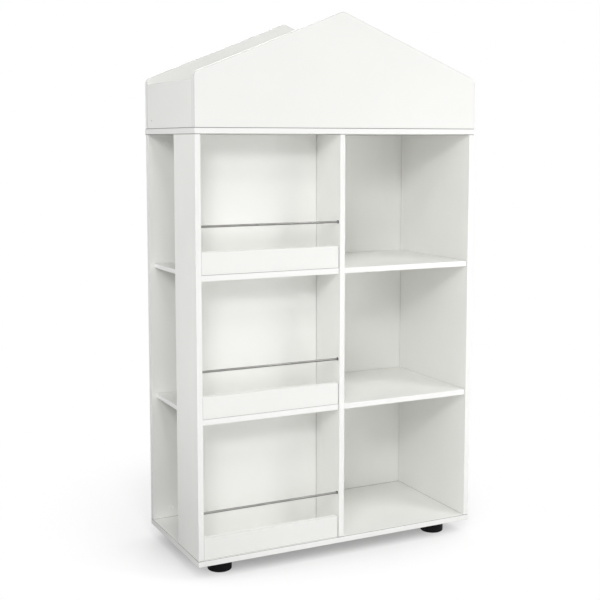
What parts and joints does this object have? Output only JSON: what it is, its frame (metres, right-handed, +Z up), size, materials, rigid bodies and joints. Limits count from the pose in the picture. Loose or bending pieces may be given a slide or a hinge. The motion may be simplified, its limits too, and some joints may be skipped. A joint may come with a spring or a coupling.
{
  "type": "house shaped bookcase",
  "caption": "White children's bookcase with a house gable outline, shallow display bays behind lips and rails, side compartments, deep cubbies and an open roof box.",
  "frame": {"origin": "on the floor, under the middle of the footprint taken from the front edges to the rear edge of the top board", "axes": "+X to the right as seen from the front, +Y to the rear, +Z up"},
  "size_m": [0.8, 0.365, 1.4035],
  "materials": {
    "white_board": "satin white laminate",
    "rail_metal": "satin",
    "socket_plastic": "matte",
    "foot_plastic": "satin black",
    "fitting_steel": "zinc plated",
    "cap_plastic": "satin white",
    "dowel_wood": "bare beech"
  },
  "bodies": {
    "root": {"bottom_board": "white_board", "top_board": "white_board", "left_front_panel": "white_board", "center_divider": "white_board", "right_side_panel": "white_board", "back_panel": "white_board", "inner_back_panel": "white_board", "display_shelf_lower": "white_board", "display_shelf_upper": "white_board", "side_shelf_lower": "white_board", "side_shelf_upper": "white_board", "right_shelf_lower": "white_board", "right_shelf_upper": "white_board", "display_lip_lower": "white_board", "display_lip_middle": "white_board", "display_lip_upper": "white_board", "roof_front_gable": "white_board", "roof_back_gable": "white_board", "roof_left_wall": "white_board", "roof_right_wall": "white_board", "display_rail_lower": "rail_metal", "display_rail_middle": "rail_metal", "display_rail_upper": "rail_metal", "rail_sockets": "socket_plastic", "foot_front_left": "foot_plastic", "foot_front_right": "foot_plastic", "foot_back_left": "foot_plastic", "foot_back_right": "foot_plastic", "foot_screws": "fitting_steel", "cam_locks": "fitting_steel", "cam_bolts": "fitting_steel", "cam_caps": "cap_plastic", "large_dowels": "dowel_wood", "small_dowels": "dowel_wood", "carcass_screws": "fitting_steel", "rear_screws": "fitting_steel"}
  },
  "joints": []
}
